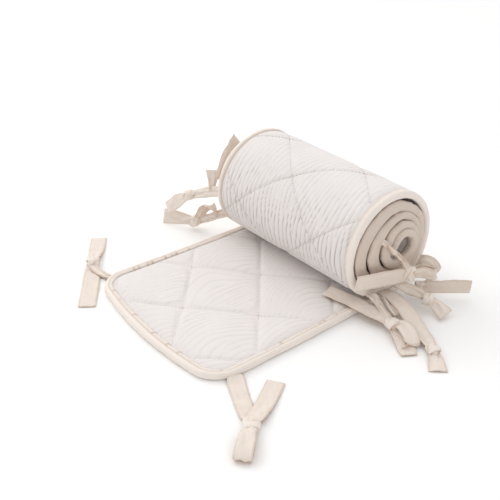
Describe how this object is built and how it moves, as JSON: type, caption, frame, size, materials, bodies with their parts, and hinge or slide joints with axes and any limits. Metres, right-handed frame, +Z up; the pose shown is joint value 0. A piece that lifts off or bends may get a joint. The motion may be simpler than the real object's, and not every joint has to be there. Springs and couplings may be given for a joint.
{
  "type": "crib bumper",
  "caption": "Long quilted cotton crib bumper with a bound edge and knotted ribbon ties, rolled up from one end with its other end lying flat.",
  "frame": {"origin": "on the strip's flat underside, in the middle of its width, 20 mm before the roll starts", "axes": "+Z up from the surface; the roll lies along X; the flat stretch runs towards -Y"},
  "size_m": [0.5865, 0.4705, 0.169],
  "materials": {
    "muslin": "crinkled cotton muslin, matte",
    "sateen": "cotton sateen bias binding, faint sheen",
    "tie_ribbon": "folded cotton sateen ribbon, faint sheen"
  },
  "bodies": {
    "root": {"quilted_panel": "muslin", "edge_binding": "sateen", "tie_near_right": "tie_ribbon", "tie_near_left": "tie_ribbon", "tie_roll_left_low": "tie_ribbon", "tie_roll_left_mid": "tie_ribbon", "tie_roll_left_high": "tie_ribbon", "tie_roll_right_low": "tie_ribbon", "tie_roll_right_mid": "tie_ribbon", "tie_roll_right_far": "tie_ribbon", "tie_roll_right_in": "tie_ribbon", "tie_roll_right_out": "tie_ribbon"}
  },
  "joints": []
}
